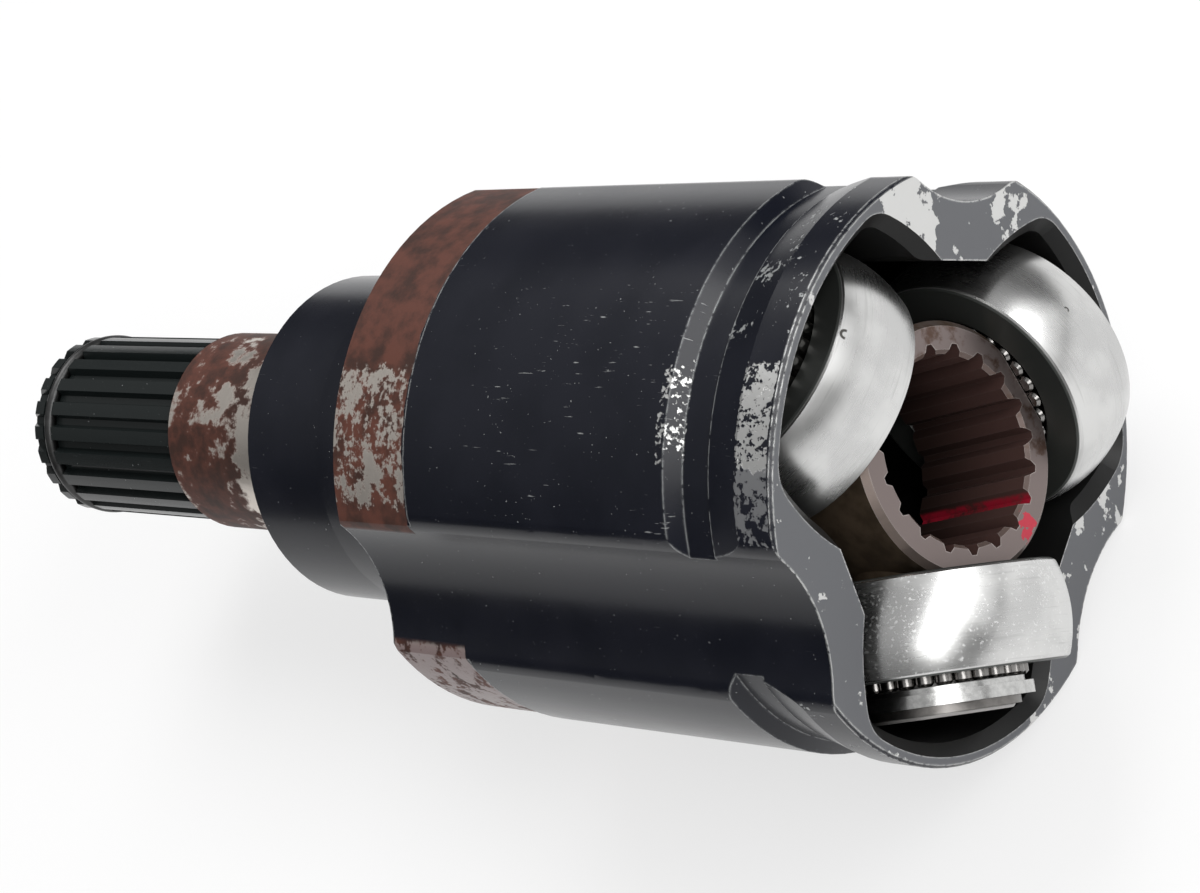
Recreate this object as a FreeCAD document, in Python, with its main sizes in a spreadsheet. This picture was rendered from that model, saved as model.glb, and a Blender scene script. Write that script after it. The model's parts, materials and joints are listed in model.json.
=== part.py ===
"""Plunging tripod constant-velocity joint: a three-lobed housing with a splined stub, and inside
it a spider whose three trunnions carry rollers on needles. Millimetres, +Z up.
X is the joint's axis, towards the open mouth. The origin is on that axis, at the rear face of the
collar, where the oil seal's journal begins. One lobe points up along +Z."""
import FreeCAD, Part
import math
import os
import Sketcher

doc = FreeCAD.newDocument("tripod_joint")
sheet = doc.addObject("Spreadsheet::Sheet", "sizes")

SIZES = [
    # stub and collar, measured back from or forward of the collar's rear face
    ("stub_length", 64.0, "collar's rear face to the stub's end"),
    ("journal_length", 28.2, "ground journal for the oil seal"),
    ("journal_radius", 15.1, "journal"),
    ("stub_radius", 14.16, "tips of the stub's splines"),
    ("stub_chamfer", 1.2, "stub's end and the journal's step"),
    ("stub_teeth", 22, "splines round the stub"),
    ("stub_gap_depth", 1.3, "depth of a gap between two splines"),
    ("stub_gap_top", 2.0, "width of a gap at the tips"),
    ("stub_gap_floor", 1.0, "width of a gap at its floor"),
    ("stub_phase", 9.6, "degrees from +Z to the first gap"),
    ("clip_setback", 4.3, "stub's end to the circlip's middle"),
    ("clip_wire", 1.8, "circlip's wire, a round section"),
    ("clip_seat_radius", 12.5, "floor of the circlip's groove"),
    ("clip_clearance", 0.1, "circlip to its groove"),
    ("clip_opening", 40.0, "degrees left open in the circlip"),
    ("collar_radius", 23.9, "collar behind the tulip"),
    ("collar_length", 15.2, "straight part of the collar"),
    ("neck_radius", 24.7, "collar where it meets the tulip"),
    ("neck_fillet", 3.0, "root of the tulip's back"),
    # tulip
    ("tulip_start", 32.7, "collar's rear face to the tulip's back"),
    ("tulip_length", 75.6, "back to mouth"),
    ("tulip_radius", 37.5, "outside of the lobes"),
    ("valley_floor", 32.8, "axis to the bottom of an outer valley"),
    ("valley_radius", 20.0, "curve of an outer valley"),
    ("lobe_round", 3.5, "round between a lobe and a valley"),
    ("back_chamfer", 0.6, "edge of the tulip's back"),
    ("band_length", 14.3, "turned band at the tulip's back"),
    ("band_depth", 0.4, "turned band below the lobes"),
    ("mouth_chamfer", 0.4, "outer edge of the mouth"),
    ("land_length", 5.3, "mouth to the boot clamp's groove"),
    ("ramp_length", 5.4, "groove's front slope"),
    ("ramp_step", 0.4, "step at the foot of the slope"),
    ("groove_length", 15.0, "mouth to the foot of the groove's rear wall"),
    ("groove_wall", 1.6, "length of the groove's rear wall along the axis"),
    ("groove_depth", 1.8, "boot clamp's groove"),
    # tracks
    ("cavity_depth", 66.0, "mouth to the cavity's floor"),
    ("nose_flat", 25.5, "axis to the flat noses between the tracks"),
    ("bore_radius", 34.5, "axis to the back of a track"),
    ("track_radius", 20.9, "axis to the middle of a track"),
    ("track_curve", 30.0, "curve of a track's walls"),
    ("track_play", 0.5, "roller to each track wall"),
    ("track_round", 4.0, "corner at the back of a track"),
    ("nose_round", 4.0, "corner of a nose"),
    ("lead_in", 1.6, "slope at the mouth of a track, as deep as it is wide"),
    # spider
    ("spider_depth", 9.4, "mouth to the spider's middle"),
    ("tilt", 15.4, "degrees between the spider's axis and the housing's"),
    ("tilt_way", 69.0, "degrees from +Y to the way it leans"),
    ("shift_y", 0.08, "spider off its ideal centre along Y"),
    ("shift_z", 0.17, "spider off its ideal centre along Z"),
    ("hub_radius", 16.3, "spider's hub"),
    ("hub_half", 10.0, "half the hub's length"),
    ("hub_chamfer", 0.8, "hub's outer edges"),
    ("hub_teeth", 19, "splines in the hub"),
    ("hub_bore_radius", 12.0, "tips of the hub's splines"),
    ("hub_gap_depth", 1.3, "depth of a gap between two splines"),
    ("hub_gap_top", 2.3, "width of a gap at the tips"),
    ("hub_gap_floor", 0.8, "width of a gap at its floor"),
    ("hub_phase", 6.5, "degrees from the first trunnion to the first gap"),
    ("bore_chamfer", 0.5, "edges of the hub's bore"),
    ("trunnion_radius", 9.26, "trunnion under the needles"),
    ("trunnion_reach", 32.4, "spider's middle to a trunnion's end"),
    ("trunnion_chamfer", 0.3, "trunnion's end"),
    ("shoulder_reach", 14.6, "spider's middle to the needles' shoulder"),
    ("root_depth", 1.4, "trunnion let into the hub"),
    ("shoulder_radius", 11.9, "room cut round a trunnion's root"),
    # roller sets
    ("roller_radius", 17.9, "ball face of a roller"),
    ("roller_width", 12.56, "roller along its trunnion"),
    ("roller_edge", 0.4, "roller's outer edges"),
    ("roller_bore_edge", 0.5, "edges of the roller's bore"),
    ("needle_diameter", 2.3, "needle"),
    ("needle_count", 28, "needles in a set"),
    ("needle_clearance", 0.03, "needle to trunnion and to roller"),
    ("needle_dome", 0.35, "needle's rounded ends"),
    ("end_clearance", 0.1, "needles to shoulder and to washer"),
    ("needle_length", 13.8, "needle"),
    ("washer_overlap", 0.35, "washer beyond the roller's bore"),
    ("washer_thickness", 2.3, "retaining washer"),
    ("washer_step", 0.7, "washer's smaller step, over the needles"),
    ("washer_step_radius", 10.9, "outside of that step"),
    ("washer_clearance", 0.1, "washer to trunnion"),
    ("snap_thickness", 1.0, "snap ring"),
    ("snap_opening", 25.0, "degrees left open in a snap ring"),
    ("snap_clearance", 0.05, "snap ring to its groove and washer"),
    ("snap_groove", 0.8, "depth of the snap ring's groove"),
    ("snap_proud", 0.85, "snap ring beyond the trunnion"),
]
for row, (name, value, meaning) in enumerate(SIZES, start=1):
    sheet.set("A%d" % row, name)
    sheet.set("B%d" % row, str(value))
    sheet.set("C%d" % row, meaning)
    sheet.setAlias("B%d" % row, name)
doc.recompute()

TRUNNIONS = 3
PITCH = 360.0 / TRUNNIONS

# distances along a trunnion from the spider's middle
needle_foot = "({shoulder_reach} + {end_clearance})"
roller_seat = "(%s + {roller_width} / 2)" % needle_foot
washer_foot = "(%s + {needle_length} + {end_clearance})" % needle_foot
washer_head = "(%s + {washer_thickness})" % washer_foot
snap_foot = "(%s + {snap_clearance})" % washer_head
snap_head = "(%s + {snap_thickness})" % snap_foot
groove_head = "(%s + {snap_clearance})" % snap_head
roller_bore = "({trunnion_radius} + {needle_diameter} + 2 * {needle_clearance})"


def cell(name):
    """A driving size as a number."""
    return float(sheet.get(name))


def bind(text):
    """An expression on the sheet, written with bare aliases between braces."""
    return text.replace("{", "sizes.").replace("}", "")


def plane(body, role):
    return next(item for item in body.Origin.OriginFeatures if item.Role == role)


def new_body(label):
    body = doc.addObject("PartDesign::Body", label)
    body.Label = label
    return body


def new_sketch(body, name, role):
    sketch = body.newObject("Sketcher::SketchObject", name)
    sketch.AttachmentSupport = [(plane(body, role), "")]
    sketch.MapMode = "FlatFace"
    return sketch


def pin(sketch, index, end, along, across):
    """Hold one end of a piece of geometry at bound distances from the sketch's origin."""
    spot = FreeCAD.Vector(sketch.evalExpression(bind(along)), sketch.evalExpression(bind(across)), 0)
    for kind, text, value in (("DistanceX", along, spot.x), ("DistanceY", across, spot.y)):
        number = sketch.addConstraint(Sketcher.Constraint(kind, -1, 1, index, end, value))
        sketch.setExpression("Constraints[%d]" % number, bind(text))


def polygon(sketch, corners):
    """Closed polygon whose corners are pairs of expressions, each pinned from the origin."""
    rough = [FreeCAD.Vector(sketch.evalExpression(bind(along)), sketch.evalExpression(bind(across)), 0)
             for along, across in corners]
    first = sketch.GeometryCount
    count = len(rough)
    for index in range(count):
        sketch.addGeometry(Part.LineSegment(rough[index], rough[(index + 1) % count]), False)
    for index in range(count):
        after = first + (index + 1) % count
        sketch.addConstraint(Sketcher.Constraint("Coincident", first + index, 2, after, 1))
    for index, (along, across) in enumerate(corners):
        pin(sketch, first + index, 1, along, across)


def circle(sketch, along, across, radius):
    """Circle with its centre and radius bound to the sheet."""
    spot = FreeCAD.Vector(sketch.evalExpression(bind(along)), sketch.evalExpression(bind(across)), 0)
    size = sketch.evalExpression(bind(radius))
    index = sketch.addGeometry(Part.Circle(spot, FreeCAD.Vector(0, 0, 1), size), False)
    pin(sketch, index, 3, along, across)
    number = sketch.addConstraint(Sketcher.Constraint("Radius", index, size))
    sketch.setExpression("Constraints[%d]" % number, bind(radius))


def feature(body, kind, name, sketch):
    item = body.newObject("PartDesign::" + kind, name)
    item.Profile = sketch
    sketch.Visibility = False
    return item


def turned(body, kind, name, role, axis, corners, angle=None):
    """Revolution or Groove of a polygon round a sketch axis."""
    sketch = new_sketch(body, name + "_profile", role)
    polygon(sketch, corners)
    item = feature(body, kind, name, sketch)
    item.ReferenceAxis = (sketch, [axis])
    if angle is None:
        item.Angle = 360.0
    else:
        item.setExpression("Angle", bind(angle))
    doc.recompute()
    return item


def pocket(body, name, sketch, length, away):
    """Pocket of a bound length; away cuts along the sketch's own normal."""
    item = feature(body, "Pocket", name, sketch)
    item.setExpression("Length", bind(length))
    item.Reversed = away
    doc.recompute()
    return item


def polar(body, name, originals, role, count):
    """Pattern of features round one of the body's own axes."""
    item = body.newObject("PartDesign::PolarPattern", name)
    item.Originals = originals
    item.Axis = (plane(body, role), [""])
    item.Angle = 360.0
    if isinstance(count, str):
        item.setExpression("Occurrences", bind(count))
    else:
        item.Occurrences = count
    body.Tip = item
    doc.recompute()
    return item


def corner_edges(shape, radius, distance, curve):
    """Edges along X at a radius, where a cylinder meets one of the three hollows of this curve
    whose centres lie at this distance from the axis, the first along -Z."""
    names = []
    for number, edge in enumerate(shape.Edges, start=1):
        if edge.Curve.TypeId != "Part::GeomLine" or abs(edge.tangentAt(edge.FirstParameter).x) < 0.999:
            continue
        spot = edge.CenterOfMass
        if abs(math.hypot(spot.y, spot.z) - radius) > 0.01:
            continue
        for turn in range(TRUNNIONS):
            angle = math.radians(turn * PITCH - 90)
            away = math.hypot(spot.y - distance * math.cos(angle), spot.z - distance * math.sin(angle))
            if abs(away - curve) < 0.01:
                names.append("Edge%d" % number)
    return names


def tooth_gap(body, part, tip, outside):
    """Sketch of the gap between two splines, near +Z; its straight sides run on past the tips."""
    inward, outward = ("-", "+") if outside else ("+", "-")
    depth, top, floor = ["{%s_gap_%s}" % (part, what) for what in ("depth", "top", "floor")]
    root = "{%s} %s %s" % (tip, inward, depth)
    mouth = "{%s} %s %s" % (tip, outward, depth)
    wide = "(%s - %s / 2)" % (top, floor)
    sketch = new_sketch(body, part + "_gap_profile", "YZ_Plane")
    polygon(sketch, [("-%s / 2" % floor, root), ("%s / 2" % floor, root), (wide, mouth), ("-" + wide, mouth)])
    phase = FreeCAD.Rotation(FreeCAD.Vector(0, 0, 1), cell(part + "_phase"))
    sketch.AttachmentOffset = FreeCAD.Placement(FreeCAD.Vector(0, 0, 0), phase)
    sketch.setExpression("AttachmentOffset.Rotation.Angle", bind("{%s_phase}" % part))
    return sketch


def housing():
    """Stub, collar and tulip: one forging, turned, splined and bored out."""
    body = new_body("tulip_housing")
    mouth = "{tulip_start} + {tulip_length}"
    step = "{stub_chamfer}"
    turned(body, "Revolution", "blank", "XZ_Plane", "H_Axis", [
        ("-{stub_length}", "0"),
        ("-{stub_length}", "{stub_radius} - " + step),
        ("-{stub_length} + " + step, "{stub_radius}"),
        ("-{journal_length} - ({journal_radius} - {stub_radius})", "{stub_radius}"),
        ("-{journal_length}", "{journal_radius}"),
        ("0", "{journal_radius}"),
        ("0", "{collar_radius} - {back_chamfer}"),
        ("{back_chamfer}", "{collar_radius}"),
        ("{collar_length}", "{collar_radius}"),
        ("{tulip_start} - {neck_fillet}", "{neck_radius}"),
        ("{tulip_start}", "{neck_radius} + {neck_fillet}"),
        ("{tulip_start}", "{tulip_radius}"),
        (mouth, "{tulip_radius}"),
        (mouth, "0"),
    ])

    valley = new_sketch(body, "valley_profile", "YZ_Plane")
    circle(valley, "0", "-({valley_floor} + {valley_radius})", "{valley_radius}")
    cut = pocket(body, "valley", valley, "{tulip_start} + {tulip_length} + 1", True)
    polar(body, "valleys", [cut], "X_Axis", TRUNNIONS)

    lobed = body.Tip
    rounds = body.newObject("PartDesign::Fillet", "lobe_rounds")
    hollow = cell("valley_radius")
    centre = cell("valley_floor") + hollow
    rounds.Base = (lobed, corner_edges(lobed.Shape, cell("tulip_radius"), centre, hollow))
    rounds.setExpression("Radius", bind("{lobe_round}"))
    body.Tip = rounds
    doc.recompute()

    out = "{tulip_radius} + 1"
    foot = mouth + " - {groove_length}"
    deep = "{tulip_radius} - {groove_depth}"
    turned(body, "Groove", "clamp_groove", "XZ_Plane", "H_Axis", [
        (mouth + " - {land_length}", "{tulip_radius}"),
        (mouth + " - {land_length}", out),
        (foot + " - {groove_wall}", out),
        (foot + " - {groove_wall}", "{tulip_radius}"),
        (foot, deep),
        (mouth + " - {land_length} - {ramp_length}", deep),
        (mouth + " - {land_length} - {ramp_length}", deep + " + {ramp_step}"),
    ])
    turned(body, "Groove", "turned_band", "XZ_Plane", "H_Axis", [
        ("{tulip_start} - 1", out),
        ("{tulip_start} - 1", "{tulip_radius} - {band_depth} - {back_chamfer} - 1"),
        ("{tulip_start} + {back_chamfer}", "{tulip_radius} - {band_depth}"),
        ("{tulip_start} + {band_length}", "{tulip_radius} - {band_depth}"),
        ("{tulip_start} + {band_length}", out),
    ])
    turned(body, "Groove", "mouth_edge", "XZ_Plane", "H_Axis", [
        (mouth + " + 1", "{tulip_radius} - {mouth_chamfer} - 1"),
        (mouth + " + 1", out),
        (mouth + " - {mouth_chamfer} - 1", out),
    ])

    centre = new_sketch(body, "cavity_profile", "YZ_Plane")
    centre.setExpression("AttachmentOffset.Base.z", bind(mouth))
    polygon(centre, [("{nose_flat} / cos(30 deg) * cos(%d deg)" % angle,
                      "{nose_flat} / cos(30 deg) * sin(%d deg)" % angle) for angle in range(0, 360, 60)])
    pocket(body, "cavity", centre, "{cavity_depth}", False)

    track = new_sketch(body, "track_profile", "YZ_Plane")
    track.setExpression("AttachmentOffset.Base.z", bind(mouth))
    track_outline(track, 0)
    cut = pocket(body, "track", track, "{cavity_depth}", False)
    polar(body, "tracks", [cut], "X_Axis", TRUNNIONS)

    bored = body.Tip
    noses = body.newObject("PartDesign::Fillet", "nose_rounds")
    noses.Base = (bored, nose_corners(bored.Shape))
    noses.setExpression("Radius", bind("{nose_round}"))
    body.Tip = noses
    doc.recompute()

    wide = new_sketch(body, "lead_mouth_profile", "YZ_Plane")
    wide.setExpression("AttachmentOffset.Base.z", bind(mouth))
    track_outline(wide, cell("lead_in"))
    narrow = new_sketch(body, "lead_foot_profile", "YZ_Plane")
    narrow.setExpression("AttachmentOffset.Base.z", bind(mouth + " - {lead_in}"))
    track_outline(narrow, 0)
    lead = body.newObject("PartDesign::SubtractiveLoft", "lead_in")
    lead.Profile = wide
    lead.Sections = [narrow]
    lead.Ruled = True
    wide.Visibility = False
    narrow.Visibility = False
    doc.recompute()
    polar(body, "lead_ins", [lead], "X_Axis", TRUNNIONS)

    gap = tooth_gap(body, "stub", "stub_radius", True)
    gap.setExpression("AttachmentOffset.Base.z", bind("-{journal_length} - {stub_chamfer}"))
    cut = pocket(body, "stub_gap", gap, "{stub_length} - {journal_length}", False)
    polar(body, "stub_splines", [cut], "X_Axis", "{stub_teeth}")
    middle = "-{stub_length} + {clip_setback}"
    half = "({clip_wire} / 2 + {clip_clearance})"
    turned(body, "Groove", "clip_groove", "XZ_Plane", "H_Axis", [
        (middle + " - " + half, "{clip_seat_radius}"),
        (middle + " + " + half, "{clip_seat_radius}"),
        (middle + " + " + half, "{stub_radius} + 1"),
        (middle + " - " + half, "{stub_radius} + 1"),
    ])
    return body


def nose_corners(shape):
    """Names of the edges along X where a nose's flat meets a track's wall."""
    names = []
    for number, edge in enumerate(shape.Edges, start=1):
        if edge.Curve.TypeId != "Part::GeomLine" or abs(edge.tangentAt(edge.FirstParameter).x) < 0.999:
            continue
        spot = edge.CenterOfMass
        for turn in range(TRUNNIONS):
            angle = math.radians(turn * PITCH + 30)
            if abs(spot.y * math.cos(angle) + spot.z * math.sin(angle) - cell("nose_flat")) < 0.01:
                names.append("Edge%d" % number)
    return names


def track_outline(sketch, grow):
    """Section of one track about +Z, grown all round: two hollow walls and the back, with round corners."""
    middle = cell("track_radius")
    curve, back = cell("track_curve") + grow, cell("bore_radius") + grow
    half = cell("roller_radius") + cell("track_play") + grow
    wall = FreeCAD.Vector(half - curve, middle, 0)

    def meeting(radius, hollow):
        """Where a circle round the axis meets one round the wall's centre, on the +X side."""
        bend = math.acos((wall.Length ** 2 + radius ** 2 - hollow ** 2) / (2 * wall.Length * radius))
        angle = math.atan2(wall.y, wall.x) - bend
        return FreeCAD.Vector(radius * math.cos(angle), radius * math.sin(angle), 0)

    def mirrored(spot):
        return FreeCAD.Vector(-spot.x, spot.y, 0)

    corner = cell("track_round") + grow
    spot = meeting(back - corner, curve - corner)
    start = meeting(cell("nose_flat") - cell("nose_round"), curve)
    wall_end = wall + (spot - wall) * (curve / (curve - corner))
    back_start = spot * (back / (back - corner))
    corner_mid = spot + ((wall_end - spot) + (back_start - spot)).normalize() * corner
    wall_mid = FreeCAD.Vector(half, middle, 0)
    for piece in (Part.Arc(start, wall_mid, wall_end), Part.Arc(wall_end, corner_mid, back_start),
                  Part.Arc(back_start, FreeCAD.Vector(0, back, 0), mirrored(back_start)),
                  Part.Arc(mirrored(back_start), mirrored(corner_mid), mirrored(wall_end)),
                  Part.Arc(mirrored(wall_end), mirrored(wall_mid), mirrored(start)),
                  Part.LineSegment(mirrored(start), start)):
        sketch.addGeometry(piece, False)


def stub_circlip():
    """Round-wire circlip in the stub's groove, open at the underside."""
    body = new_body("stub_circlip")
    sketch = new_sketch(body, "wire_profile", "XZ_Plane")
    circle(sketch, "-{stub_length} + {clip_setback}",
           "-({clip_seat_radius} + {clip_clearance} + {clip_wire} / 2)", "{clip_wire} / 2")
    wire = feature(body, "Revolution", "wire", sketch)
    wire.ReferenceAxis = (sketch, ["H_Axis"])
    wire.setExpression("Angle", bind("360 - {clip_opening}"))
    doc.recompute()
    return body


def spider():
    """Hub with splines inside and three trunnions; its own X is the shaft's axis."""
    body = new_body("tripod_spider")
    turned(body, "Revolution", "hub", "XZ_Plane", "H_Axis", [
        ("-{hub_half}", "{hub_bore_radius} + {bore_chamfer}"),
        ("-{hub_half}", "{hub_radius} - {hub_chamfer}"),
        ("-{hub_half} + {hub_chamfer}", "{hub_radius}"),
        ("{hub_half} - {hub_chamfer}", "{hub_radius}"),
        ("{hub_half}", "{hub_radius} - {hub_chamfer}"),
        ("{hub_half}", "{hub_bore_radius} + {bore_chamfer}"),
        ("{hub_half} - {bore_chamfer}", "{hub_bore_radius}"),
        ("-{hub_half} + {bore_chamfer}", "{hub_bore_radius}"),
    ])
    relief = turned(body, "Groove", "root_relief", "XZ_Plane", "V_Axis", [
        ("0", "{shoulder_reach}"), ("{shoulder_radius}", "{shoulder_reach}"),
        ("{shoulder_radius}", "{hub_radius} + 1"), ("0", "{hub_radius} + 1"),
    ])
    polar(body, "root_reliefs", [relief], "X_Axis", TRUNNIONS)
    arm = turned(body, "Revolution", "arm", "XZ_Plane", "V_Axis", [
        ("0", "{shoulder_reach} - {root_depth}"), ("{trunnion_radius}", "{shoulder_reach} - {root_depth}"),
        ("{trunnion_radius}", washer_head),
        ("{trunnion_radius} - {snap_groove}", washer_head),
        ("{trunnion_radius} - {snap_groove}", groove_head),
        ("{trunnion_radius}", groove_head),
        ("{trunnion_radius}", "{trunnion_reach} - {trunnion_chamfer}"),
        ("{trunnion_radius} - {trunnion_chamfer}", "{trunnion_reach}"),
        ("0", "{trunnion_reach}"),
    ])
    polar(body, "arms", [arm], "X_Axis", TRUNNIONS)
    gap = tooth_gap(body, "hub", "hub_bore_radius", False)
    gap.setExpression("AttachmentOffset.Base.z", bind("{hub_half} + 1"))
    cut = pocket(body, "hub_gap", gap, "2 * {hub_half} + 2", False)
    polar(body, "hub_splines", [cut], "X_Axis", "{hub_teeth}")
    seat(body, 0)
    return body


def seat(item, turn):
    """Place a part made on the spider's +Z trunnion onto the spider's trunnion of this number."""
    ease = "{track_radius} * (1 - cos({tilt} * 1 deg)) / 2"
    spot = "vector({tulip_start} + {tulip_length} - {spider_depth}; "
    spot += ease + " * sin(2 * {tilt_way} * 1 deg) + {shift_y}; "
    spot += ease + " * cos(2 * {tilt_way} * 1 deg) + {shift_z})"
    lean = "rotation(vector(0; -sin({tilt_way} * 1 deg); cos({tilt_way} * 1 deg)); {tilt})"
    around = "placement(vector(0; 0; 0); rotation(vector(1; 0; 0); %s))" % (turn * PITCH)
    item.setExpression("Placement", bind("placement(%s; %s) * %s" % (spot, lean, around)))


def roller(number):
    """Ring with a ball-shaped outer face, running on the needles."""
    body = new_body("roller_%d" % (number + 1))
    face = "sqrt({roller_radius} ^ 2 - ({roller_width} / 2) ^ 2)"
    low = roller_seat + " - {roller_width} / 2"
    high = roller_seat + " + {roller_width} / 2"
    corners = [(roller_bore, low), (face, low), (face, high), (roller_bore, high)]
    sketch = new_sketch(body, "ring_profile", "XZ_Plane")
    spots = [FreeCAD.Vector(sketch.evalExpression(bind(along)), sketch.evalExpression(bind(across)), 0)
             for along, across in corners + [("{roller_radius}", roller_seat)]]
    sketch.addGeometry(Part.LineSegment(spots[0], spots[1]), False)
    sketch.addGeometry(Part.Arc(spots[1], spots[4], spots[2]), False)
    sketch.addGeometry(Part.LineSegment(spots[2], spots[3]), False)
    sketch.addGeometry(Part.LineSegment(spots[3], spots[0]), False)
    # the arc runs anticlockwise, so its ends are the lower and the upper corner in turn
    for index in range(len(corners)):
        sketch.addConstraint(Sketcher.Constraint("Coincident", index, 2, (index + 1) % len(corners), 1))
        pin(sketch, index, 1, *corners[index])
    size = sketch.addConstraint(Sketcher.Constraint("Radius", 1, cell("roller_radius")))
    sketch.setExpression("Constraints[%d]" % size, bind("{roller_radius}"))
    ring = feature(body, "Revolution", "ring", sketch)
    ring.ReferenceAxis = (sketch, ["V_Axis"])
    ring.Angle = 360.0
    doc.recompute()

    bore = sketch.evalExpression(bind(roller_bore))
    for name, radius, size in (("outer_edges", spots[1].x, "{roller_edge}"),
                               ("bore_edges", bore, "{roller_bore_edge}")):
        whole = body.Tip
        edges = body.newObject("PartDesign::Chamfer", name)
        edges.Base = (whole, [
            "Edge%d" % count for count, edge in enumerate(whole.Shape.Edges, start=1)
            if edge.Curve.TypeId == "Part::GeomCircle" and edge.Closed
            and abs(edge.Curve.Radius - radius) < 0.01])
        edges.setExpression("Size", bind(size))
        body.Tip = edges
        doc.recompute()
    seat(body, number)
    return body


def needle_set(number):
    """Loose needles standing side by side round a trunnion, their ends broken round."""
    radius, dome, length = cell("needle_diameter") / 2, cell("needle_dome"), cell("needle_length")
    foot = float(sheet.evalExpression(bind(needle_foot)))
    ring = float(sheet.evalExpression(bind("{trunnion_radius} + {needle_clearance} + {needle_diameter} / 2")))
    count = int(cell("needle_count"))
    profile = ((0, 0), (radius - dome, 0), (radius, dome),
               (radius, length - dome), (radius - dome, length), (0, length))
    outline = [FreeCAD.Vector(ring + across, 0, foot + along) for across, along in profile]
    outline.append(outline[0])
    needle = Part.Face(Part.makePolygon(outline)).revolve(outline[0], FreeCAD.Vector(0, 0, 1), 360)
    item = doc.addObject("Part::Feature", "needle_set_%d" % (number + 1))
    item.Label = item.Name
    solids = []
    for index in range(count):
        copy = needle.copy()
        copy.rotate(FreeCAD.Vector(0, 0, 0), FreeCAD.Vector(0, 0, 1), index * 360.0 / count)
        solids.append(copy)
    item.Shape = Part.makeCompound(solids)
    seat(item, number)
    return item


def washer(number):
    """Stepped washer that keeps the needles and the roller on a trunnion."""
    body = new_body("washer_%d" % (number + 1))
    hole = "{trunnion_radius} + {washer_clearance}"
    rim = roller_bore + " + {washer_overlap}"
    step = washer_foot + " + {washer_step}"
    turned(body, "Revolution", "disc", "XZ_Plane", "V_Axis", [
        (hole, washer_foot), ("{washer_step_radius}", washer_foot), ("{washer_step_radius}", step),
        (rim, step), (rim, washer_head), (hole, washer_head),
    ])
    seat(body, number)
    return body


def snap_ring(number):
    """Open ring sprung into a trunnion's groove; the opening faces away from the mouth."""
    body = new_body("snap_ring_%d" % (number + 1))
    inside = "-({trunnion_radius} - {snap_groove} + {snap_clearance})"
    outside = "-({trunnion_radius} + {snap_proud})"
    turned(body, "Revolution", "ring", "XZ_Plane", "V_Axis", [
        (inside, snap_foot), (outside, snap_foot), (outside, snap_head), (inside, snap_head),
    ], "360 - {snap_opening}")
    seat(body, number)
    return body


parts = [housing(), stub_circlip(), spider()]
for trunnion in range(TRUNNIONS):
    parts += [roller(trunnion), needle_set(trunnion), washer(trunnion), snap_ring(trunnion)]
doc.recompute()

for item in doc.Objects:
    if "Invalid" in item.State or "Error" in item.State:
        raise RuntimeError("%s did not build: %s" % (item.Name, item.State))
    if item.isDerivedFrom("PartDesign::Pocket") or item.isDerivedFrom("PartDesign::Groove"):
        if item.Shape.Volume >= item.BaseFeature.Shape.Volume:
            raise RuntimeError("%s removed nothing" % item.Name)
for item in parts:
    if item.Shape.isNull() or not item.Shape.isValid():
        raise RuntimeError("%s has no valid shape" % item.Label)

os.makedirs("parts", exist_ok=True)
for item in parts:
    item.Shape.exportStep(os.path.join("parts", item.Label + ".step"))
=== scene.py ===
import bpy
import math
from mathutils import Euler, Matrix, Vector
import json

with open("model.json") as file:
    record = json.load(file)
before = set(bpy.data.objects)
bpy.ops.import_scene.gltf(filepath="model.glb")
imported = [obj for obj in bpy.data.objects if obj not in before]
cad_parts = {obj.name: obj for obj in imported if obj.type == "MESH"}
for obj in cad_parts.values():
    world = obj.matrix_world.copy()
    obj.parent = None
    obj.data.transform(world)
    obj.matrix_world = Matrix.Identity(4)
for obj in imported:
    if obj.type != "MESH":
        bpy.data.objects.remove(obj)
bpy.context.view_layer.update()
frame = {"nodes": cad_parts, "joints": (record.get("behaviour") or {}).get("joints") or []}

nodes = frame["nodes"]
joints = {joint["name"]: joint for joint in frame["joints"]}
print("frame loaded:", len(nodes), "nodes")

mm = 0.001                                      # the frame is in metres
white = (1.0, 1.0, 1.0)


class Wire:                                     # one shader socket that adds, multiplies and so on
    def __init__(self, finish, socket):
        self.finish, self.socket = finish, socket

    def maths(self, operation, *others):
        values = dict(enumerate((self, *others)))
        return self.finish.node("ShaderNodeMath", {"operation": operation}, values)

    def reflected(self, operation, other):      # the other value comes first
        return self.finish.node("ShaderNodeMath", {"operation": operation}, {0: other, 1: self})

    def __add__(self, other): return self.maths("ADD", other)
    def __sub__(self, other): return self.maths("SUBTRACT", other)
    def __mul__(self, other): return self.maths("MULTIPLY", other)
    def __truediv__(self, other): return self.maths("DIVIDE", other)
    def __radd__(self, other): return self.maths("ADD", other)
    def __rsub__(self, other): return self.reflected("SUBTRACT", other)
    def __rmul__(self, other): return self.maths("MULTIPLY", other)
    def __rtruediv__(self, other): return self.reflected("DIVIDE", other)

    def size(self): return self.maths("ABSOLUTE")
    def most(self, other): return self.maths("MAXIMUM", other)

    def ramp(self, low, high):                  # 0 below low, 1 above high, smooth between
        settings = {"interpolation_type": "SMOOTHSTEP"}
        values = {0: self, 1: low, 2: high, 3: 0.0, 4: 1.0}
        return self.finish.node("ShaderNodeMapRange", settings, values)

    def past(self, level, soft):                # 0 below a level, 1 above it, with a soft step
        return self.ramp(level - soft, level + soft)

    def within(self, low, high, soft):          # 1 between low and high, with soft ends outside them
        return self.ramp(low - soft, low) * (1.0 - self.ramp(high, high + soft))


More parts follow.
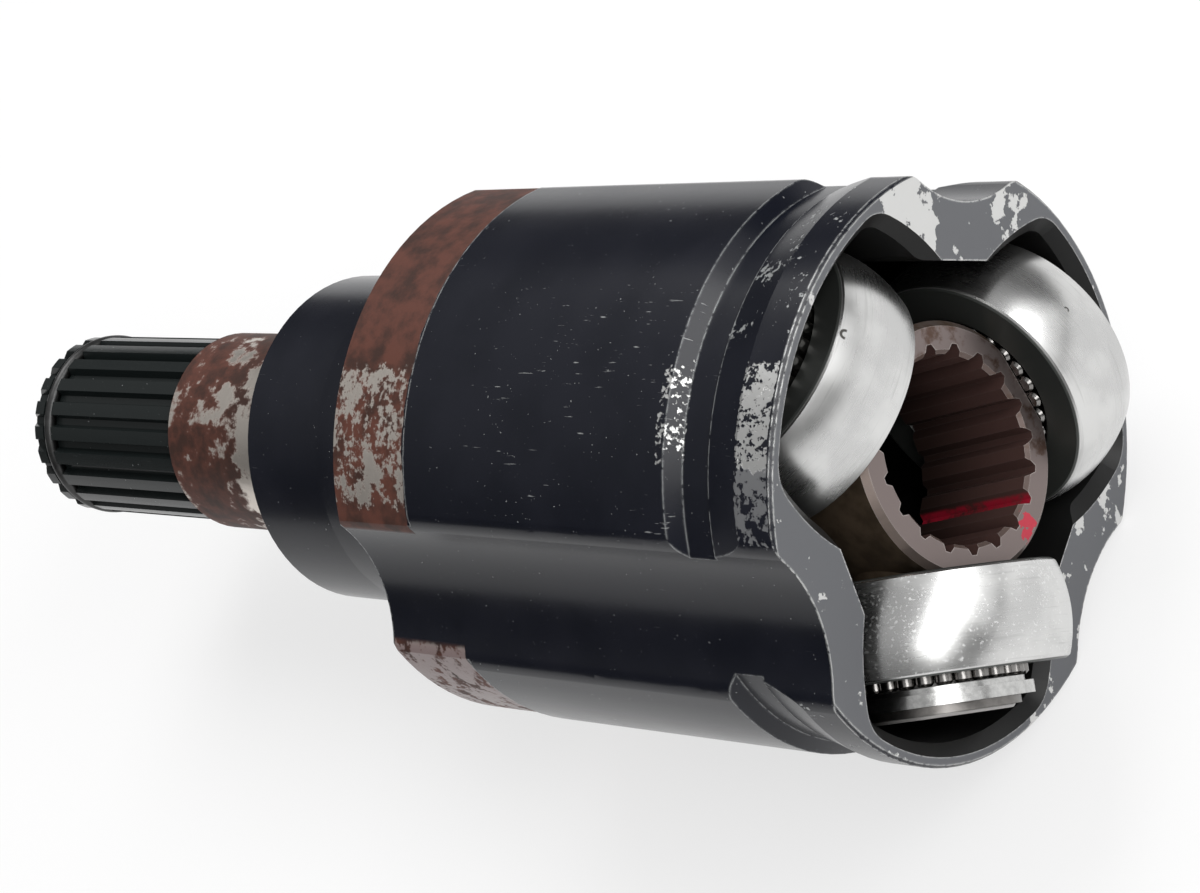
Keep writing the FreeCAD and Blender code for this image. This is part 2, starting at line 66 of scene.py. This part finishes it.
class Finish:                                   # a material, or the sky, under construction
    chipGain = 0.4                              # how strongly a cover brings out chips
    chipLevel = 0.72                            # noise above this is a chip

    def __init__(self, owner, output="ShaderNodeOutputMaterial", place="Object"):
        owner.use_nodes = True
        self.owner, self.tree = owner, owner.node_tree
        self.tree.nodes.clear()
        self.output = self.tree.nodes.new(output)
        self.place = self.node("ShaderNodeTexCoord", {}, {}, place)
        self.normal = self.node("ShaderNodeTexCoord", {}, {}, "Normal")
        self.x, self.y, self.z = self.parts(self.place)

    def node(self, kind, settings, values, out=0):
        item = self.tree.nodes.new(kind)
        for name, value in settings.items():
            setattr(item, name, value)
        for key, value in values.items():
            socket = item.inputs[key]
            if isinstance(value, Wire):
                self.tree.links.new(value.socket, socket)
            elif socket.type == "RGBA" and len(value) == 3:
                socket.default_value = (*value, 1.0)
            else:
                socket.default_value = value
        return Wire(self, item.outputs[out])

    def parts(self, vector):                    # its x, y and z
        split = self.node("ShaderNodeSeparateXYZ", {}, {0: vector}).socket.node
        return [Wire(self, output) for output in split.outputs]

    def joined(self, x, y, z):
        return self.node("ShaderNodeCombineXYZ", {}, {0: x, 1: y, 2: z})

    def along(self, vector, axis):              # how far a vector reaches along an axis
        settings = {"operation": "DOT_PRODUCT"}
        return self.node("ShaderNodeVectorMath", settings, {0: vector, 1: axis}, "Value")

    def length(self, first, second):
        return (first * first + second * second).maths("SQRT")

    def angle(self, up, side):                  # degrees from side towards up
        return up.maths("ARCTAN2", side) * (180.0 / math.pi)

    def arc(self, angle, radius):               # degrees round a cylinder, as a length
        return angle * (math.pi / 180.0 * radius)

    def noise(self, scale, detail, rough, where=None, stretch=(1.0, 1.0, 1.0)):
        moved = self.node("ShaderNodeMapping", {}, {0: where or self.place, 3: stretch})
        values = {"Vector": moved, "Scale": scale, "Detail": detail, "Roughness": rough}
        return self.node("ShaderNodeTexNoise", {}, values)

    def chips(self, noise, cover, soft):        # crisp patches, more of them where cover is high
        return (noise + cover * self.chipGain).ramp(self.chipLevel, self.chipLevel + soft)

    def mix(self, share, first, second):        # colours
        return self.node("ShaderNodeMix", {"data_type": "RGBA"}, {0: share, 6: first, 7: second}, 2)

    def blend(self, share, first, second):      # numbers
        return self.node("ShaderNodeMix", {"data_type": "FLOAT"}, {0: share, 2: first, 3: second})

    def bump(self, height, depth):
        values = {"Height": height, "Distance": depth, "Strength": 1.0}
        return self.node("ShaderNodeBump", {}, values)

    def edge(self, width, low, high):           # 1 along the sharp edges
        rounded = self.node("ShaderNodeBevel", {"samples": 6}, {"Radius": width})
        flat = self.node("ShaderNodeNewGeometry", {}, {}, "Normal")
        return (1.0 - self.along(rounded, flat)).ramp(low, high)

    def seen(self, *rays):                      # 1 for the kinds of ray that are named
        shares = [self.node("ShaderNodeLightPath", {}, {}, "Is %s Ray" % ray) for ray in rays]
        total = shares[0]
        for share in shares[1:]:
            total = total.most(share)
        return total

    def skin(self, colour, roughness, metallic, normal, specular=0.5):
        values = {"Base Color": colour, "Roughness": roughness, "Metallic": metallic,
                  "Specular IOR Level": specular, "Normal": normal}
        return self.close(self.node("ShaderNodeBsdfPrincipled", {}, values))

    def close(self, shader):
        self.tree.links.new(shader.socket, self.output.inputs[0])
        return self.owner


def newFinish(name):
    return Finish(bpy.data.materials.new(name))


def dress(piece, material):
    piece.data.materials.clear()
    piece.data.materials.append(material)


def scaled(colour, factor):
    return tuple(part * factor for part in colour)


# camera
cameraView = {
    "spot": (0.3249, -0.1307, 0.2715),
    "turn": (35.05, 36.03, 24.80),              # degrees
    "lens": 89.09,
    "sensor": 36.0,
    "nearest": 10.0 * mm,
}
lens = bpy.data.cameras.new("viewCamera")
lens.lens = cameraView["lens"]
lens.sensor_width = cameraView["sensor"]
lens.clip_start = cameraView["nearest"]
camera = bpy.data.objects.new("viewCamera", lens)
camera.location = cameraView["spot"]
camera.rotation_euler = Euler([math.radians(turn) for turn in cameraView["turn"]])
bpy.context.scene.collection.objects.link(camera)
bpy.context.scene.camera = camera
print("camera placed")


# housing: black paint, worn to bare steel, with rust where it was never painted
housingPaint = {
    "paint": (0.004, 0.005, 0.010),
    "paintHigh": (0.007, 0.008, 0.014),
    "primer": (0.105, 0.108, 0.116),            # the mouth's face
    "steel": (0.66, 0.66, 0.65),
    "chip": (0.36, 0.37, 0.37),
    "chipDark": (0.12, 0.12, 0.13),             # at the end of the worn part of the land
    "rust": (0.105, 0.036, 0.024),
    "rustDark": (0.040, 0.017, 0.012),
    "pale": (0.60, 0.55, 0.50),                 # steel showing through rust
    "thinRustAndReflection": (0.23, 0.175, 0.17),               # thin rust on the bare band of the lower lobe at the -Y side, drawn pale and not metallic: a painted reflection of the floor
    "inside": (0.006, 0.006, 0.006),
    "spline": (0.010, 0.013, 0.013),
    "shine": 0.30,
    "roughness": {"paint": 0.22, "spread": 0.05, "face": 0.5, "inside": 0.42,
                  "rust": 0.60, "pale": 0.30, "grey": 0.45, "steel": 0.28},
    "relief": 0.08 * mm,
    "edgeWidth": 0.45 * mm,
    "grain": {                                  # scale, detail and roughness of each noise
        "coarse": (260.0, 6.0, 0.62),
        "fine": (1100.0, 4.0, 0.6),
        "speck": (2300.0, 2.0, 0.5),
        "broad": (90.0, 3.0, 0.5),
        "journal": (70.0, 2.0, 0.5),
        "relief": (500.0, 2.0, 0.55),
    },
    "streaks": (300.0, 2600.0, 300.0),          # scale along the axis, round it and outwards
    "rustGrain": (520.0, 260.0, 260.0),         # the same
    "stations": {"journal": -28.2 * mm, "collar": 0.0, "tulip": 32.7 * mm, "cavity": 36.0 * mm,
                 "band": 47.0 * mm, "groove": 91.7 * mm, "floor": 93.3 * mm, "ramp": 97.6 * mm,
                 "land": 103.0 * mm, "mouth": 108.3 * mm},
    "radii": {"journal": 15.3 * mm, "lobe": 36.1 * mm, "cavity": 36.3 * mm, "outside": 37.5 * mm},
    "wear": {                                   # from and to in degrees round the axis, then softness
        "rearSlope": (99.0, 117.0, 5.0),
        "frontRamp": (62.0, 92.0, 10.0),
        "landBare": (100.0, 117.0, 4.0),
        "landGrey": (117.0, 131.0, 3.0),
        "scratches": (88.0, 138.0, 14.0),
        "topFace": (44.0, 56.0, 5.0),
        "bandBare": (103.0, 128.0, 6.0),
    },
    "bloomAndReflectionEnds": ((-100.0, -95.0), (160.0, 166.0)),     # no rust bloom or painted floor reflection between these, over the top
    "scratches": (65.0 * mm, 92.0 * mm, 12.0 * mm),     # from and to along the axis, then softness
    "journalWear": (-25.0 * mm, -8.0 * mm),             # more bare steel towards the collar
    "cover": {"rearSlope": 0.49, "rearGrey": 0.3, "frontRamp": 0.40, "landBare": 0.66,
              "landGrey": 0.66, "landLight": 0.30, "topFace": 0.74, "face": 0.24,
              "band": 0.06, "bandBare": 0.58, "bandBloomAndReflection": 0.72},
    "faceWear": (                               # other worn places on the mouth's face, each with its cover
        ((10.0, 17.0, 4.0), 0.32),
        ((-78.0, -64.0, 6.0), 0.26),
        ((-128.0, -104.0, 8.0), 0.18),
        ((20.0, 38.0, 6.0), 0.10),
    ),
}


def housingFinish():
    facts = housingPaint
    at, radii = facts["stations"], facts["radii"]
    wear, cover = facts["wear"], facts["cover"]
    rough, grains = facts["roughness"], facts["grain"]
    finish = newFinish("housingPaint")
    x = finish.x
    radius = finish.length(finish.y, finish.z)
    angle = finish.angle(finish.z, finish.y)
    facing = finish.parts(finish.normal)
    outward = (finish.y * facing[1] + finish.z * facing[2]) / radius
    unrolled = finish.joined(x, finish.arc(angle, radii["outside"]), radius)

    coarse = finish.noise(*grains["coarse"])
    fine = finish.noise(*grains["fine"])
    speck = finish.noise(*grains["speck"])
    broad = finish.noise(*grains["broad"])
    streak = finish.noise(1.0, 3.0, 0.55, unrolled, facts["streaks"])
    grain = finish.noise(1.0, 5.0, 0.65, unrolled, facts["rustGrain"])

    # which part of the housing a point is on
    forward = facing[0].ramp(0.85, 0.95)
    mouthFace = x.ramp(at["mouth"] - 0.2 * mm, at["mouth"] - 0.1 * mm) * forward
    inner = (1.0 - outward.ramp(-0.25, -0.1)).most(forward)
    inner = inner * x.ramp(at["cavity"], at["cavity"] + 1.0 * mm)
    inner = inner * (1.0 - mouthFace)
    inner = inner * (1.0 - radius.past(radii["cavity"], 0.1 * mm))
    lobe = radius.past(radii["lobe"], 0.5 * mm)
    outer = outward.ramp(0.3, 0.6)
    spline = 1.0 - x.ramp(at["journal"] - 0.3 * mm, at["journal"] - 0.1 * mm)
    edges = finish.edge(facts["edgeWidth"], 0.012, 0.10)

    # where the paint has gone, by place
    rearSlope = x.within(at["groove"] - 1.2 * mm, at["floor"] + 0.1 * mm, 0.6 * mm)
    rearSlope = rearSlope * angle.within(*wear["rearSlope"])
    frontRamp = x.within(at["ramp"], at["land"], 1.2 * mm) * angle.within(*wear["frontRamp"])
    land = x.within(at["land"] - 0.2 * mm, at["mouth"] - 0.8 * mm, 0.5 * mm) * outward.ramp(0.4, 0.6)
    landBare = land * angle.within(*wear["landBare"])
    landGrey = land * angle.within(*wear["landGrey"])
    landLight = land * lobe * cover["landLight"]
    around = x.within(*facts["scratches"]) * angle.within(*wear["scratches"]) * lobe
    topFace = mouthFace * angle.within(*wear["topFace"])
    otherFace = sum(angle.within(*place) * share for place, share in facts["faceWear"])
    otherFace = mouthFace * (otherFace + cover["face"])

    bareCover = (rearSlope * cover["rearSlope"]).most(landBare * cover["landBare"])
    bare = finish.chips(fine * 0.45 + coarse * 0.35 + speck * 0.2, bareCover, 0.03)
    faceCover = (topFace * cover["topFace"]).most(otherFace)
    bare = bare.most(finish.chips(coarse * 0.85 + fine * 0.15, faceCover, 0.02))
    greyCover = (frontRamp * cover["frontRamp"]).most(landGrey * cover["landGrey"])
    greyCover = greyCover.most(landLight).most(rearSlope * cover["rearGrey"])
    grey = finish.chips(coarse * 0.5 + fine * 0.5, greyCover, 0.03)
    scratches = (streak + around * 0.05).ramp(0.72, 0.75) * (around * 0.9 + 0.1)
    scratches = scratches * outer * broad.ramp(0.47, 0.55)
    dots = (speck + (around * 0.5 + land * 0.5) * 0.03).ramp(0.745, 0.77) * outer
    worn = edges * x.ramp(at["tulip"] - 1.0 * mm, at["tulip"]) * (fine * 1.6 - 0.35).ramp(0.2, 0.5)
    rim = worn * x.ramp(at["mouth"] - 0.7 * mm, at["mouth"] - 0.4 * mm)

    # rust on the lobes' rear band and on the journal
    band = x.within(at["tulip"] + 0.3 * mm, at["band"], 0.2 * mm)
    band = band * radius.past(radii["lobe"], 0.3 * mm) * outward.ramp(0.2, 0.4)
    ragged = x + (coarse - 0.5) * (1.6 * mm)
    band = band * (1.0 - ragged.ramp(at["band"] - 0.7 * mm, at["band"] - 0.5 * mm))
    bandBare = angle.within(*wear["bandBare"]) * cover["bandBare"] + cover["band"]
    # thin rust and a painted reflection of the floor on the lower lobe's band: more pale shows there,
    # pinkish and not metallic
    lowEnd, highEnd = facts["bloomAndReflectionEnds"]
    rustBloomAndReflection = 1.0 - angle.ramp(*lowEnd) * (1.0 - angle.ramp(*highEnd))
    bandShow = finish.chips(grain * 0.6 + fine * 0.4, bandBare.most(rustBloomAndReflection * cover["bandBloomAndReflection"]), 0.08)
    rustBloomAndReflection = band * rustBloomAndReflection
    journal = x.within(at["journal"], at["collar"], 0.01 * mm)
    journal = journal * (1.0 - radius.past(radii["journal"], 0.1 * mm))
    journalCover = finish.noise(*grains["journal"]) * 0.9 + x.ramp(*facts["journalWear"]) * 0.42 - 0.06
    journalShow = finish.chips(coarse, journalCover, 0.10)
    rusty = band + journal
    pale = band * bandShow + journal * journalShow

    outside = 1.0 - inner
    painted = 1.0 - rusty
    grey = grey.most(scratches * 0.8).most(dots * 0.9).most(worn) * outside * painted
    bare = bare.most(rim) * outside * painted

    colour = finish.mix(broad.ramp(0.35, 0.65), facts["paint"], facts["paintHigh"])
    colour = finish.mix(spline, colour, facts["spline"])
    colour = finish.mix(inner, colour, facts["inside"])
    colour = finish.mix(mouthFace, colour, facts["primer"])
    rust = finish.mix(coarse.ramp(0.35, 0.62), facts["rustDark"], facts["rust"])
    shown = finish.mix(rustBloomAndReflection, facts["pale"], facts["thinRustAndReflection"])
    colour = finish.mix(rusty, colour, finish.mix(pale, rust, shown))
    colour = finish.mix(grey, colour, finish.mix(landGrey * 0.7, facts["chip"], facts["chipDark"]))
    colour = finish.mix(bare, colour, facts["steel"])

    roughness = finish.blend(broad, rough["paint"] - rough["spread"], rough["paint"] + rough["spread"])
    roughness = finish.blend(mouthFace, roughness, rough["face"])
    roughness = finish.blend(inner, roughness, rough["inside"])
    roughness = finish.blend(rusty, roughness, finish.blend(pale, rough["rust"], rough["pale"]))
    roughness = finish.blend(grey, roughness, rough["grey"])
    roughness = finish.blend(bare, roughness, rough["steel"] + fine * 0.2)
    metallic = bare.most(grey * 0.4).most(pale * 0.85 * (1.0 - rustBloomAndReflection))

    height = bare * -0.6 + grey * -0.5 + rusty * (coarse + fine * 0.5) * 0.8
    height = height + finish.noise(*grains["relief"]) * 0.06
    normal = finish.bump(height, facts["relief"])
    return finish.skin(colour, roughness, metallic, normal, facts["shine"])


dress(nodes["tulip_housing"], housingFinish())
print("housing dressed")


# the small steel pieces: grey with a fine grain
steelGrain = {"noise": (900.0, 3.0, 0.6), "shade": 0.75, "spread": 0.06, "relief": 0.01 * mm}


def plainSteel(name, facts):
    finish = newFinish(name)
    grain = finish.noise(*steelGrain["noise"])
    shade = scaled(facts["colour"], steelGrain["shade"])
    colour = finish.mix(grain.ramp(0.3, 0.7), shade, facts["colour"])
    low, high = facts["roughness"] - steelGrain["spread"], facts["roughness"] + steelGrain["spread"]
    return finish.skin(colour, finish.blend(grain, low, high), 1.0, finish.bump(grain, steelGrain["relief"]))


circlipWire = {"colour": (0.08, 0.08, 0.08), "roughness": 0.4}
dress(nodes["stub_circlip"], plainSteel("circlipWire", circlipWire))
print("circlip dressed")


# spider: oily forging with a ground hub face and red marking paint
spiderSteel = {
    "face": (0.205, 0.168, 0.160),
    "dirt": (0.10, 0.062, 0.048),
    "edge": (0.62, 0.58, 0.55),
    "side": (0.075, 0.054, 0.036),
    "trunnion": (0.34, 0.33, 0.32),
    "bore": (0.085, 0.046, 0.040),
    "borePaintedShade": (0.020, 0.011, 0.009),
    "red": (0.42, 0.012, 0.035),
    "stripe": (-93.5, -90.0, 1.6),              # from and to in degrees round the shaft, then softness
    "marks": (-113.0, -101.0, 3.0),
    "dirty": (-62.0, 45.0, 22.0),
    "radii": {"bore": 13.6 * mm, "hub": 16.4 * mm, "trunnion": 17.1 * mm},
    "boreShadeFade": (-10.0 * mm, 8.0 * mm),         # painted shade: darker towards the back
    "paler": 1.7,                               # how much paler the side's light patches are
    "roughness": {"smooth": 0.30, "rough": 0.50, "face": 0.42},
    "metallic": {"side": 0.4, "face": 0.85, "bore": 0.0, "red": 0.0},
    "grain": {"coarse": (330.0, 5.0, 0.6), "fine": (1500.0, 3.0, 0.6), "marks": (420.0, 3.0, 0.5)},
    "relief": 0.03 * mm,
    "edgeWidth": 0.3 * mm,
}
spiderSpot = Vector(joints["articulation"]["pos_m"])
trunnionAxes = {
    1: Vector(joints["roller_1_spin"]["axis"]).normalized(),
    2: Vector(joints["roller_2_spin"]["axis"]).normalized(),
    3: Vector(joints["articulation"]["axis"]).normalized(),
}
shaftAxis = trunnionAxes[3].cross(trunnionAxes[1]).normalized()
if shaftAxis.x < 0.0:
    shaftAxis = -shaftAxis
sideAxis = trunnionAxes[1].cross(shaftAxis)


def spiderPlace(finish, axes):                  # a point along three axes through the spider's middle
    values = {0: finish.place, 1: tuple(spiderSpot)}
    moved = finish.node("ShaderNodeVectorMath", {"operation": "SUBTRACT"}, values)
    return [finish.along(moved, tuple(axis)) for axis in axes]


def spiderFinish():
    facts = spiderSteel
    radii, grains = facts["radii"], facts["grain"]
    rough, metal = facts["roughness"], facts["metallic"]
    finish = newFinish("spiderSteel")
    ahead, side, up = spiderPlace(finish, (shaftAxis, sideAxis, trunnionAxes[1]))
    radius = finish.length(side, up)
    angle = finish.angle(up, side)
    facing = finish.along(finish.normal, tuple(shaftAxis))
    sideways = finish.along(finish.normal, tuple(sideAxis))
    upwards = finish.along(finish.normal, tuple(trunnionAxes[1]))
    outward = (sideways * side + upwards * up) / radius
    coarse = finish.noise(*grains["coarse"])
    fine = finish.noise(*grains["fine"])

    # which part of the spider a point is on
    hubFace = facing.ramp(0.6, 0.8) * (1.0 - radius.past(radii["hub"], 0.1 * mm))
    bore = 1.0 - outward.ramp(-0.1, 0.1)
    bore = bore * (1.0 - radius.past(radii["bore"], 0.1 * mm)) * (1.0 - hubFace)
    trunnion = radius.past(radii["trunnion"], 0.1 * mm)
    edges = finish.edge(facts["edgeWidth"], 0.02, 0.15) * hubFace.most(bore * 0.08)

    dirty = finish.chips(coarse, angle.within(*facts["dirty"]) * 0.55 + 0.05, 0.16)
    stripe = angle.within(*facts["stripe"]) * bore * (coarse + fine * 0.4).ramp(0.52, 0.80)
    marksCover = angle.within(*facts["marks"]) * 0.62 - 0.15
    marks = finish.chips(finish.noise(*grains["marks"]), marksCover, 0.012) * hubFace
    red = stripe.most(marks)

    colour = finish.mix(coarse.ramp(0.35, 0.65), facts["side"], scaled(facts["side"], facts["paler"]))
    colour = finish.mix(trunnion, colour, facts["trunnion"])
    colour = finish.mix(hubFace, colour, finish.mix(dirty, facts["face"], facts["dirt"]))
    # painted shade in the bore, darker towards the back
    boreShade = finish.mix(ahead.ramp(*facts["boreShadeFade"]), facts["borePaintedShade"], facts["bore"])
    colour = finish.mix(bore, colour, boreShade)
    colour = finish.mix(red, colour, facts["red"])
    colour = finish.mix(edges * 0.55 * (1.0 - red), colour, facts["edge"])
    roughness = finish.blend(coarse, rough["smooth"], rough["rough"])
    roughness = finish.blend(hubFace, roughness, rough["face"])
    metallic = finish.blend(hubFace, metal["side"], metal["face"])
    metallic = finish.blend(bore, metallic, metal["bore"])
    metallic = finish.blend(red, metallic, metal["red"])
    normal = finish.bump(coarse + fine * 0.5, facts["relief"])
    return finish.skin(colour, roughness, metallic, normal)


dress(nodes["tripod_spider"], spiderFinish())
print("spider dressed")


# rollers: ground rings with dull flat ends, each with a nick (reach, degrees, size)
ringSteel = {
    "bright": (0.70, 0.70, 0.69),
    "cloudy": (0.56, 0.56, 0.555),
    "lines": (0.42, 0.42, 0.41),
    "pits": (0.93, 0.93, 0.93),
    "flat": (0.060, 0.064, 0.060),
    "nick": (0.03, 0.025, 0.02),
    "middle": 20.98 * mm,                       # along the trunnion to a roller's middle
    "half": 6.28 * mm,
    "radius": 17.9 * mm,
    "bore": 12.2 * mm,
    "roughness": {"ground": 0.19, "flat": 0.36},
    "metallic": {"ground": 1.0, "flat": 0.55},
    "grain": {"fine": (2600.0, 2.0, 0.5), "cloud": (110.0, 3.0, 0.5), "pits": (160.0, 2.0, 0.55)},
    "grinding": (120.0, 2600.0, 600.0),         # scale round the roller, along it and outwards
    "relief": 0.006 * mm,
}
rollerMarks = {
    1: {"nick": (26.2 * mm, 2.0, 0.7 * mm), "specks": 0.0},
    2: {"nick": (21.5 * mm, 150.0, 0.4 * mm), "specks": 1.0},
    3: {"nick": (21.4 * mm, -19.0, 0.4 * mm), "specks": 0.0},
}


def rollerFinish(number, nick, specks):
    facts = ringSteel
    grains, rough, metal = facts["grain"], facts["roughness"], facts["metallic"]
    axis = trunnionAxes[number]
    finish = newFinish("rollerSteel%d" % number)
    reach, ahead, side = spiderPlace(finish, (axis, shaftAxis, axis.cross(shaftAxis)))
    radius = finish.length(ahead, side)
    angle = finish.angle(side, ahead)
    flat = (reach - facts["middle"]).size().ramp(facts["half"] - 0.25 * mm, facts["half"] - 0.15 * mm)
    bore = 1.0 - radius.past(facts["bore"], 0.1 * mm)
    dull = flat.most(bore)

    wrapped = finish.joined(finish.arc(angle, facts["radius"]), reach, radius)
    lines = finish.noise(1.0, 4.0, 0.6, wrapped, facts["grinding"])
    fine = finish.noise(*grains["fine"])
    cloud = finish.noise(*grains["cloud"])
    pits = (fine + finish.noise(*grains["pits"]) * 0.20).ramp(0.72, 0.76) * specks
    spotReach, spotAngle, spotSize = nick
    near = finish.length(reach - spotReach, finish.arc(angle - spotAngle, facts["radius"]))
    hook = near.within(spotSize * 0.6, spotSize * 0.9, spotSize * 0.2)
    hook = hook * (reach - spotReach + spotSize * 0.3).ramp(0.0, 0.2 * mm)      # open on one side

    colour = finish.mix(cloud.ramp(0.35, 0.65), facts["cloudy"], facts["bright"])
    colour = finish.mix(lines.ramp(0.56, 0.70) * 0.35, colour, facts["lines"])
    colour = finish.mix(pits * 0.45, colour, facts["pits"])
    colour = finish.mix(hook * 0.9, colour, facts["nick"])
    colour = finish.mix(dull, colour, facts["flat"])
    ground = rough["ground"] + cloud * 0.10 + lines * 0.08 + pits * 0.15
    roughness = finish.blend(dull, ground, rough["flat"])
    metallic = finish.blend(dull, metal["ground"], metal["flat"])
    normal = finish.bump(lines * 0.5 + fine * 0.5 * specks, facts["relief"])
    return finish.skin(colour, roughness, metallic, normal)


needleSteel = {"colour": (0.30, 0.29, 0.28), "roughness": 0.22}
washerSteel = {"colour": (0.60, 0.60, 0.59), "roughness": 0.22}
snapSteel = {"colour": (0.22, 0.21, 0.20), "roughness": 0.35}
for number, marks in rollerMarks.items():
    dress(nodes["roller_%d" % number], rollerFinish(number, marks["nick"], marks["specks"]))
    dress(nodes["needle_set_%d" % number], plainSteel("needleSteel%d" % number, needleSteel))
    dress(nodes["washer_%d" % number], plainSteel("washerSteel%d" % number, washerSteel))
    dress(nodes["snap_ring_%d" % number], plainSteel("snapSteel%d" % number, snapSteel))
print("rollers, needles, washers and snap rings dressed")


# floor, sky and lamps
studio = {
    "floorHeight": -35.9 * mm,
    "floorSize": 12.0,
    "floorColour": (0.95, 0.95, 0.95),
    "floorGlow": 0.66,                          # share of plain white that the camera and reflections see
    "skySide": 0.12,                            # strength of the sky that lights the object
    "skyTop": 0.55,
    "skyFrom": 0.25,                            # heights between which it brightens
    "skyTo": 0.95,
}
bpy.ops.object.select_all(action="DESELECT")
bpy.ops.mesh.primitive_plane_add(size=studio["floorSize"], location=(0.0, 0.0, studio["floorHeight"]))
floor = bpy.context.active_object
floor.name = "studioFloor"
paper = newFinish("floorPaper")
matt = paper.node("ShaderNodeBsdfDiffuse", {}, {"Color": studio["floorColour"]})
glow = paper.node("ShaderNodeEmission", {}, {"Color": white, "Strength": 1.0})
share = paper.seen("Camera", "Glossy", "Transmission") * studio["floorGlow"]
both = paper.node("ShaderNodeMixShader", {}, {0: share, 1: matt, 2: glow})
dress(floor, paper.close(both))
print("floor laid")

sky = Finish(bpy.data.worlds.new("studioSky"), "ShaderNodeOutputWorld", "Generated")
skyRange = {0: sky.z, 1: studio["skyFrom"], 2: studio["skyTo"], 3: studio["skySide"], 4: studio["skyTop"]}
skyLevel = sky.node("ShaderNodeMapRange", {"interpolation_type": "SMOOTHSTEP"}, skyRange)
strength = sky.blend(sky.seen("Camera"), skyLevel, 1.0)     # plain white to the camera
background = sky.node("ShaderNodeBackground", {}, {"Color": white, "Strength": strength})
bpy.context.scene.world = sky.close(background)
print("sky made")

lamps = {
    "key": {"spot": (0.98, -0.04, 0.79), "aim": (0.03, 0.0, 0.0), "size": (1.80, 0.50), "power": 11.0},
    "side": {"spot": (0.80, 0.35, 0.35), "aim": (0.08, 0.0, 0.0), "size": (0.90, 0.60), "power": 1.5},
    "overhead": {"spot": (-0.15, 0.45, 0.75), "aim": (0.03, 0.0, 0.0), "size": (0.60, 0.60), "power": 4.0},
}
for name, facts in lamps.items():
    lamp = bpy.data.lights.new(name, "AREA")
    lamp.shape = "RECTANGLE"
    lamp.size, lamp.size_y = facts["size"]
    lamp.energy = facts["power"]
    holder = bpy.data.objects.new(name, lamp)
    holder.location = facts["spot"]
    aim = Vector(facts["aim"]) - Vector(facts["spot"])
    holder.rotation_euler = aim.to_track_quat("-Z", "Y").to_euler()
    bpy.context.scene.collection.objects.link(holder)
bpy.context.scene.view_settings.view_transform = "Standard"
print("lamps hung")
